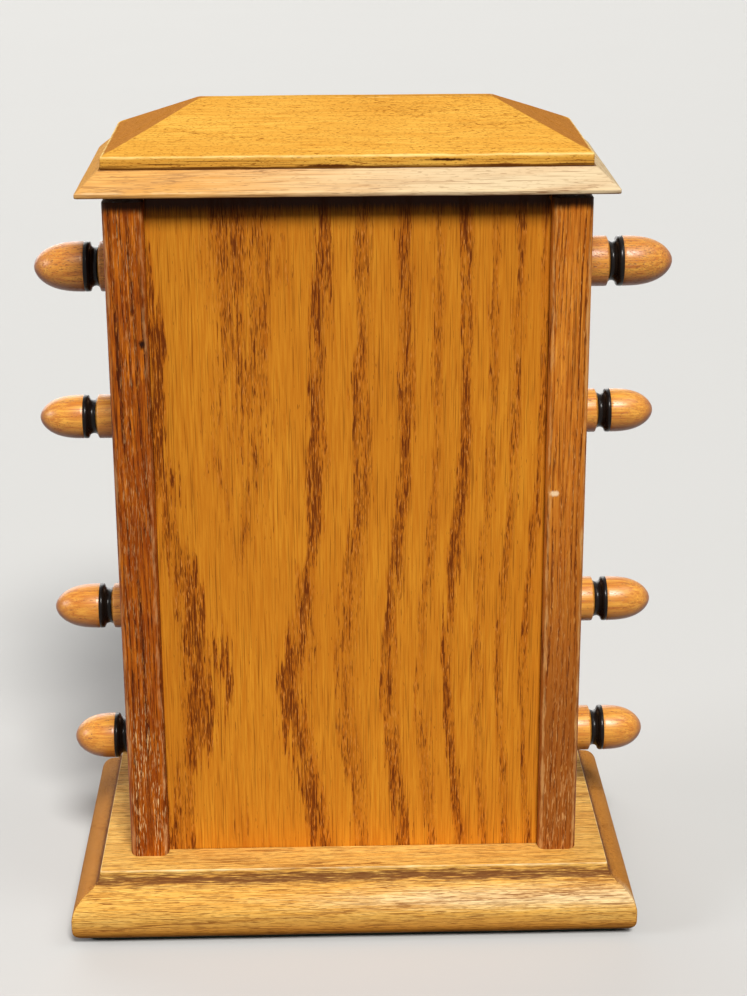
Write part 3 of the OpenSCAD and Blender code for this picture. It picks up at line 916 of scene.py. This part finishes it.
def makeBackPanel():
    # a plain board between the posts, with finer faces near its edges
    low, high = boxOf("back_panel")
    inside = boxOf("right_side_board")[0][0]
    ease, gap = panelSet["ease"], panelSet["gap"]
    near = np.array([0.0, 0.8, 1.6, 2.6, 4.0, 6.0, 9.0, 14.0])
    across = np.concatenate([-inside + ease + near, np.linspace(-40, 40, 6), (inside - ease - near)[::-1]])
    up = np.concatenate([low[2] + gap + near, np.linspace(low[2] + 30, high[2] - 30, 12),
                         (high[2] - gap - near)[::-1]])

    def corners(p, q):
        # painted shade: bell curves, strongest under the lid, weaker beside the posts and over the base
        away = (high[2] - q, inside - np.abs(p), q - low[2])
        top, side, foot = [np.exp(-(far / reach) ** 2) for far, reach in zip(away, panelSet["shade"])]
        strong, weak = panelSet["shadeShare"]
        return np.maximum(strong * top, weak * np.maximum(side, foot))

    parts = openBoard(across, up, panelEdge(high[1] - low[1]), [],
                      lambda p, q, d: np.stack([p, high[1] - d, q], -1), corners)
    makePiece("backPanel", parts, "case", oakBack, "back_panel")


def makeFrontPanel():
    # three windows, each a bevel, a straight sight edge and a rebate for its glass
    low, high = boxOf("front_panel")
    inside = boxOf("right_side_board")[0][0]
    ease, gap, thick = panelSet["ease"], panelSet["gap"], high[1] - low[1]
    bevel, rebate = panelSet["bevel"], panelSet["rebate"]
    shoulder, grow = thick - panelSet["rebateDepth"], bevel + panelSet["margin"]
    patches = []
    for pane in ("month_glass", "date_glass", "day_glass"):
        paneLow, paneHigh = boxOf(pane)
        half = (paneHigh - paneLow) / 2 - rebate
        patches.append((half[0], (paneHigh[2] + paneLow[2]) / 2, half[2]))
    reaches = sorted({halfX + grow for halfX, _, _ in patches})
    across = np.array([-inside + ease, *[-r for r in reaches[::-1]], 0, *reaches, inside - ease])
    up, openings = [low[2] + gap], []
    for place, (halfX, middle, halfZ) in enumerate(patches):
        up += [middle - halfZ - grow, middle + halfZ + grow]
        first = int(np.argmin(np.abs(across + halfX + grow)))
        last = int(np.argmin(np.abs(across - halfX - grow)))
        rows = [("block", 0, 0, 0, 0)]
        for wider, depth, arris in (
                (bevel + 0.25, 0, 0.6), (bevel + 0.05, 0.1, 1), (bevel - 0.25, 0.4, 0.4),
                (0.3, bevel - 0.25, 0.3), (0.05, bevel + 0.05, 0.8), (0, bevel + 0.3, 0.4),
                (0, shoulder, 0), (rebate, shoulder, 0), (rebate, thick, 0)):
            rows.append(("window", halfX + wider, halfZ + wider, depth, arris))
        rows.append(("block", 0, 0, thick, 0))
        openings.append(((first, last, 2 * place + 1, 2 * place + 2), rows))
    parts = openBoard(across, [*up, high[2] - gap], panelEdge(thick), openings,
                      lambda p, q, d: np.stack([p, low[1] + d, q], -1))
    makePiece("frontPanel", parts, "case", oakFront, "front_panel")


makeBackPanel()
makeFrontPanel()
print("panels made")

# Turned spindles
spindleSet = {
    "segments": 72,
    "neck": 3.4,          # width of the waist
    "neckShare": 0.77,    # waist over rod diameter
    "step": 0.35,         # depth of the neck's own edges
    "fullness": 2.6,      # the acorn's radius is R (1 - s^fullness)^power at the part s of its length
    "power": 0.55,
    "shadedUnderside": 0.8,      # how much darker the underside is painted, as painted shade
    "handled": (0.8, 6.0),      # how dark the tips are, and over which length
    # length of the acorn, width of the black ring, share of open pores, name, body
    "day_spindle": (17.4, 2.1, 0.55, "daySpindle", "day_reel"),
    "upper_spindle": (15.3, 1.8, 0.3, "upperSpindle", "upper_reel"),
    "lower_spindle": (16.1, 1.8, 0.2, "lowerSpindle", "lower_reel"),
    "month_spindle": (14.7, 1.8, 0.3, "monthSpindle", "month_reel"),
}


def turnedEnd(radius, tip, acorn, ring):
    # rows of distance along the axis, radius, ebony and arris, from the plain rod to the tip:
    # the waist is half a sine wave
    neck, step, nut = spindleSet["neck"], spindleSet["step"], tip - acorn
    start = nut - ring - neck
    dip = radius * (1 - spindleSet["neckShare"])
    rows = [(start - 8.0, radius, 0, 0), (start - 0.5, radius, 0, 0), (start - 0.15, radius - 0.1, 0, 0.8)]
    for s in np.linspace(0, 1, 13):
        deep = step + (dip - step) * math.sin(math.pi * s) ** 0.45
        rows.append((start + neck * s, radius - deep, 0 if s < 0.1 else 1, 0))
    rows += [(nut - ring + 0.25, radius - 0.08, 1, 0), (nut - ring * 0.5, radius, 1, 0),
             (nut - 0.25, radius - 0.03, 1, 0), (nut - 0.12, radius - 0.14, 1, 0),
             (nut - 0.08, radius - 0.14, 0, 0), (nut + 0.15, radius - 0.05, 0, 0.3)]
    for angle in np.linspace(0, math.pi / 2, 30)[1:]:
        s = math.sin(angle)
        share = max(0.0, 1 - s ** spindleSet["fullness"]) ** spindleSet["power"]
        rows.append((nut + acorn * s, (radius - 0.05) * share, 0, 0))
    return np.array(rows)


def makeSpindle(node):
    # one end and its mirrored copy, joined by the plain rod
    low, high = boxOf(node)
    acorn, ring, openPores, name, body = spindleSet[node]
    middle, half = (low + high) / 2, (high - low) / 2
    end = turnedEnd(half[1], half[0], acorn, ring)
    rows = np.concatenate([end[::-1] * np.array([-1, 1, 1, 1]), end])
    segments = spindleSet["segments"]
    points, faces, around = lathe(rows[:, 0] + middle[0], rows[:, 1], middle[2], segments)
    # the tips are handled dark, and the underside carries painted shade
    dark, length = spindleSet["handled"]
    deepened = dark * np.clip(1 - half[0] / length + np.abs(points[:, 0] - middle[0]) / length, 0, 1) ** 1.5
    deepened += spindleSet["shadedUnderside"] * np.clip(0.1 - np.sin(around), 0, 1) ** 1.2
    values = {"ebony": np.repeat(rows[:, 2], segments), "arris": np.repeat(rows[:, 3], segments),
              "deepened": deepened}
    material = oakMaterial(
        name + "Wood", along="X", pith=(0, 14, middle[2] - 9), ringWidth=3.2, bend=1.6, poreLength=1.8,
        poreWidth=0.8, openPores=openPores, hair=0.25, bands=0.6, blotch=0.3, seed=middle[2],
        light=(0.9, 0.47, 0.07), deep=(0.52, 0.16, 0.016), band=(0.34, 0.08, 0.008),
        pore=(0.12, 0.025, 0.004), bandShare=0.45, poreShare=0.65, deepened=(0.26, 0.045, 0.006),
        worn=(0.75, 0.4, 0.16), wearAmount=0.5, rough=0.32, gloss=0.5, relief=0.05, ebony=True)
    makePiece(name, [(points, faces, values)], body, material, node, sharp=50.0)


for rod in spindles:
    makeSpindle(rod)
print("spindles made")

# Drums, bands and scroll
printSet = {
    "days": ("SUNDAY", "MONDAY", "TUESDAY", "WEDNESDAY", "THURSDAY", "FRIDAY", "SATURDAY"),
    "months": ("JANUARY", "FEBRUARY", "MARCH", "APRIL", "MAY", "JUNE", "JULY", "AUGUST", "SEPTEMBER",
               "OCTOBER", "NOVEMBER", "DECEMBER"),
    "date": "16",
    "dayHeight": 9.5,
    "monthHeight": 6.6,
    "dateHeight": 30.0,
    "thick": 0.02,        # half of the ink's thickness
    "strip": 0.8,         # width of the strips that the letters are bent in
    "sunk": 0.01,         # how deep the middle of the ink lies in the paper
    "paper": ((0.66, 0.55, 0.35), (0.78, 0.7, 0.52)),
    "foxing": (0.42, 0.27, 0.12),
    "ink": ((0.012, 0.01, 0.01), (0.07, 0.055, 0.045)),
    "bandSegments": 96,
}
# thicknesses in millimetres: the cloth and the roller's radius
scrollSet = {"turns": 6, "cloth": 0.19, "core": 19.5, "turnSteps": 48}


def paperMaterial(name, weave):
    # cloudy between two shades, with brown spots
    made, tree, shader = emptyMaterial(name)
    space = grainSpace(tree)
    foxing = ramp(cloud(space, 6.0, 6.0, 2.0, 3.0), 0.55, 0.75)
    colour = blendColours(cloud(space, 30.0, 30.0, 4.0), *printSet["paper"])
    colour = blendColours(times(foxing, 0.4), colour, printSet["foxing"])
    height = cloud(space, 0.3, 0.3, 6.0)
    if weave:
        # plain weave: threads across times threads along
        x, _, z = follow("ShaderNodeSeparateXYZ", {0: space})
        across, along = [calc("SINE", times(way, 9.0)) for way in (x, z)]
        height = plus(height, times(across, along))
    feed(shader, {"Base Color": colour, "Normal": bump(height, 0.4, 0.04), "Roughness": 0.8})
    return made


def inkMaterial():
    # black, worn thin in spots
    made, tree, shader = emptyMaterial("printersInk")
    thin = ramp(cloud(grainSpace(tree), 0.6, 0.6, 8.0, 3.0), 0.55, 0.8)
    feed(shader, {"Base Color": blendColours(thin, *printSet["ink"]), "Roughness": 0.6})
    return made


paper, linen, ink = paperMaterial("agedPaper", False), paperMaterial("agedLinen", True), inkMaterial()


def makeBand(node, drum, name, body):
    # a thin tube round its drum, with a small ease at its ends
    low, high = boxOf(node)
    inner, outer = [(box[1][1] - box[0][1]) / 2 for box in (boxOf(drum), (low, high))]
    ease = min(0.1, (outer - inner) / 3)
    rows = np.array([
        (low[0], inner), (low[0], outer - ease), (low[0] + ease, outer), (high[0] - ease, outer),
        (high[0], outer - ease), (high[0], inner), (low[0], inner)])
    points, faces, _ = lathe(rows[:, 0], rows[:, 1], (low[2] + high[2]) / 2, printSet["bandSegments"])
    makePiece(name, [(points, faces, {})], body, paper, node)


def wordMesh(text, height):
    # flat letters of the given height, centred, cut into strips so that they can be bent
    curve = bpy.data.curves.new("word", "FONT")
    curve.body = text
    curve.resolution_u = 4
    curve.extrude = printSet["thick"]
    holder = bpy.data.objects.new("word", curve)
    bpy.context.scene.collection.objects.link(holder)
    bpy.context.view_layer.update()
    mesh = bpy.data.meshes.new_from_object(holder.evaluated_get(bpy.context.evaluated_depsgraph_get()))
    bpy.data.objects.remove(holder)
    shell = bmesh.new()
    shell.from_mesh(mesh)
    bpy.data.meshes.remove(mesh)
    bmesh.ops.remove_doubles(shell, verts=shell.verts, dist=1e-5)
    rise = np.array([v.co.y for v in shell.verts])
    scale = height / (rise.max() - rise.min())
    shell.transform(Matrix.Diagonal((scale, scale, 1, 1)))
    step = printSet["strip"]
    for level in np.arange(rise.min() * scale + step, rise.max() * scale, step):
        every = shell.verts[:] + shell.edges[:] + shell.faces[:]
        bmesh.ops.bisect_plane(shell, geom=every, plane_co=(0, level, 0), plane_no=(0, 1, 0), dist=1e-5)
    shell.verts.index_update()
    points = np.array([v.co for v in shell.verts])
    faces = [[v.index for v in f.verts] for f in shell.faces]
    shell.free()
    points[:, :2] -= (points[:, :2].min(0) + points[:, :2].max(0)) / 2
    return points, faces


def inkPiece(name, words, body, bend):
    # words are (text, letter height, angle); bend maps flat letters and an angle to the row frame
    points, faces, start = [], [], 0
    for text, height, angle in words:
        flat, polygons = wordMesh(text, height)
        points.append(bend(flat, angle))
        faces += [[corner + start for corner in polygon] for polygon in polygons]
        start += len(flat)
    addPiece(name, np.concatenate(points), faces, {}, 0, body, ink)


def bandWords(node, name, body, words, height):
    # the words share the turn equally
    low, high = boxOf(node)
    middle, axis = (low[0] + high[0]) / 2, (low[2] + high[2]) / 2
    radius = (high[1] - low[1]) / 2 - printSet["sunk"]

    def bend(flat, turn):
        # the letters stand out of a cylinder, the first word towards the front
        reach = radius + flat[:, 2]
        angle = flat[:, 1] / radius + turn
        return np.stack([middle + flat[:, 0], -reach * np.cos(angle), axis + reach * np.sin(angle)], -1)

    rows = [(text, height, -place * 2 * math.pi / len(words)) for place, text in enumerate(words)]
    inkPiece(name, rows, body, bend)


def makeRoll(node, name, body):
    # linen wound in a spiral: the radius grows evenly with the angle
    low, high = boxOf(node)
    height, outer = (low[2] + high[2]) / 2, (high[1] - low[1]) / 2 - 0.01
    turns, cloth, core = scrollSet["turns"], scrollSet["cloth"], scrollSet["core"]
    pitch = (outer - core - cloth) / turns
    angle = np.linspace(0, turns * 2 * math.pi, turns * scrollSet["turnSteps"] + 1)
    inner = core + pitch * angle / (2 * math.pi)
    # the winding starts at the back of the roller
    across, rise = np.cos(angle + math.pi), np.sin(angle + math.pi)
    corners = [(low[0], inner), (high[0], inner), (high[0], inner + cloth), (low[0], inner + cloth)]
    points = np.stack([np.stack([np.full(len(angle), x), r * across, height + r * rise], -1)
                       for x, r in corners], 1)
    ends = np.array([[3, 2, 1, 0], [4 * (len(angle) - 1) + k for k in range(4)]])
    piece = makePiece(name, [(points.reshape(-1, 3), [loopQuads(len(angle), 4), ends], {})], body,
                      linen, node)


def makeWeb():
    # the flat stretch of linen between the two rolls, with the number of the day on it
    low, high = boxOf("date_web")
    across, up = np.linspace(low[0], high[0], 13), np.linspace(low[2], high[2], 13)
    edge = [(0, 0, 0, 0), (0, 0, high[1] - low[1], 0)]
    parts = openBoard(across, up, edge, [], lambda p, q, d: np.stack([p, low[1] + d, q], -1))
    piece = makePiece("dateWeb", parts, "case", linen, "date_web")
    middle = (low + high) / 2

    def lay(flat, turn):
        # upright, in front of the linen
        depth = low[1] - printSet["sunk"] - flat[:, 2] * turn
        return np.stack([middle[0] + flat[:, 0], depth, middle[2] + flat[:, 1]], -1)

    inkPiece("dateNumber", [(printSet["date"], printSet["dateHeight"], 1.0)], "case", lay)


makeBand("day_band", "day_drum", "dayBand", "day_reel")
makeBand("month_band", "month_drum", "monthBand", "month_reel")
bandWords("day_band", "dayWords", "day_reel", printSet["days"], printSet["dayHeight"])
bandWords("month_band", "monthWords", "month_reel", printSet["months"], printSet["monthHeight"])
makeRoll("upper_roll", "upperRoll", "upper_reel")
makeRoll("lower_roll", "lowerRoll", "lower_reel")
makeWeb()
print("drums and scroll made")


# What stays from the frame: glass, screws, glazing beads and plain inner wood
glassSet = {"tint": (0.93, 0.97, 0.95), "rough": (0.01, 0.06), "bending": 1.5}
steelSet = {"bright": (0.45, 0.44, 0.42), "rust": (0.2, 0.13, 0.08)}


def glassMaterial():
    # clear, with smears that are a little rougher
    made, tree, shader = emptyMaterial("sheetGlass")
    smear = cloud(grainSpace(tree), 18.0, 18.0, 9.0)
    feed(shader, {
        "Roughness": ramp(smear, 0.5, 0.8, *glassSet["rough"]),
        "Base Color": (*glassSet["tint"], 1), "Transmission Weight": 1.0, "IOR": glassSet["bending"]})
    return made


def steelMaterial():
    # bright steel with rusty spots that are rougher
    made, tree, shader = emptyMaterial("dullSteel")
    spots = ramp(cloud(grainSpace(tree), 1.2, 1.2, 10.0, 3.0), 0.5, 0.75)
    feed(shader, {
        "Base Color": blendColours(spots, steelSet["bright"], steelSet["rust"]),
        "Roughness": plus(times(spots, 0.3), 0.35), "Metallic": 1.0})
    return made


def dress(material, *names):
    # gives pieces of the frame a material
    for name in names:
        data = cadNodes[name].data
        data.materials.clear()
        data.materials.append(material)


softwood = oakMaterial(
    "bareSoftwood", along="X", pith=(0, 25, 200), ringWidth=3.0, bend=2.0, poreLength=9.0, seed=25.0,
    light=(0.62, 0.42, 0.22), deep=(0.5, 0.31, 0.14), band=(0.4, 0.22, 0.09), pore=(0.3, 0.16, 0.07),
    bandShare=0.6, poreShare=0.25, rough=0.6, relief=0.03)
beadWood = oakMaterial(
    "beadOak", along="X", pith=(0, -60, 100), ringWidth=3.0, bend=2.0, poreLength=4.0, seed=27.0,
    light=(0.4, 0.14, 0.03), deep=(0.3, 0.09, 0.02), rough=0.45, relief=0.03)
dress(glassMaterial(), "day_glass", "date_glass", "month_glass")
dress(steelMaterial(), "base_screws", "lid_screws")
dress(beadWood, "day_glass_beads", "date_glass_beads", "month_glass_beads")
dress(softwood, "case_top_board", "glue_blocks", "day_drum", "upper_roller", "lower_roller", "month_drum",
      "day_pegs", "upper_pegs", "lower_pegs", "month_pegs")
print("inner pieces dressed")

# Floor and light
studioSet = {
    "floor": (0.55, 0.55, 0.54),
    "floorRadius": 8.0,    # metres
    "floorSteps": 96,
    "bounce": 0.13,        # how much of the floor's colour lights the piece
    "backdrop": (0.76, 0.76, 0.75),
    "ambient": 0.08,
    # direction towards the lamp, brightness of a face turned to it, width in degrees, colour
    "key": ((-0.14, 0.66, 0.74), 1.24, 16.0, (1.0, 0.98, 0.95)),
    "fill": ((0.9, 0.24, 0.36), 0.34, 22.0, (0.96, 0.96, 1.0)),
    "top": ((-0.5, 0.2, 0.85), 0.15, 24.0, (1.0, 0.99, 0.97)),
    "front": ((0.3, -0.93, 0.2), 0.65, 60.0, (1.0, 0.99, 0.97)),
}


def seenRays(tree):
    # 1 where the camera, a reflection or a pane looks, and 0 where light is only gathered
    rays = addNode(tree, "ShaderNodeLightPath").outputs
    return calc("MAXIMUM", rays["Is Camera Ray"],
                calc("MAXIMUM", rays["Is Glossy Ray"], rays["Is Transmission Ray"]))


def makeFloor():
    # a round plate far larger than the view
    steps, radius = studioSet["floorSteps"], studioSet["floorRadius"]
    angle = np.arange(steps) * 2 * math.pi / steps
    points = np.stack([radius * np.cos(angle), radius * np.sin(angle), np.zeros(steps)], -1)
    mesh = bpy.data.meshes.new("floor")
    mesh.from_pydata(points.tolist(), [], [list(range(steps))])
    made, tree, shader = emptyMaterial("paleFloor")
    mottle = cloud(grainSpace(tree), 180.0, 180.0, 12.0)
    pale = blendColours(mottle, [c * 0.985 for c in studioSet["floor"]], studioSet["floor"])
    dim = [c * studioSet["bounce"] for c in studioSet["floor"]]
    feed(shader, {"Base Color": blendColours(seenRays(tree), dim, pale),
                  "Roughness": 0.8, "Specular IOR Level": 0.1})
    mesh.materials.append(made)
    floor = bpy.data.objects.new("floor", mesh)
    bpy.context.scene.collection.objects.link(floor)


def makeLamp(name):
    # a wide sun; its strength is pi times the brightness it gives
    toward, level, width, colour = studioSet[name]
    data = bpy.data.lights.new(name, "SUN")
    data.energy = math.pi * level
    data.angle = math.radians(width)
    data.color = colour
    lamp = bpy.data.objects.new(name, data)
    lamp.matrix_world = Vector(toward).to_track_quat("Z", "Y").to_matrix().to_4x4()
    bpy.context.scene.collection.objects.link(lamp)


def makeWorld():
    # the backdrop where it is seen, the ambient light elsewhere
    world = bpy.data.worlds.new("studio")
    bpy.context.scene.world = world
    world.use_nodes = True
    tree = world.node_tree
    tree.nodes.clear()
    ambient, shown = [
        addNode(tree, "ShaderNodeBackground", {"Color": (*colour, 1), "Strength": strength}).outputs[0]
        for colour, strength in (((1, 1, 1), studioSet["ambient"]), (studioSet["backdrop"], 1.0))]
    mixed = follow("ShaderNodeMixShader", {0: seenRays(tree), 1: ambient, 2: shown})[0]
    follow("ShaderNodeOutputWorld", {"Surface": mixed})


makeFloor()
for lampName in ("key", "top", "fill", "front"):
    makeLamp(lampName)
makeWorld()
print("studio lit")
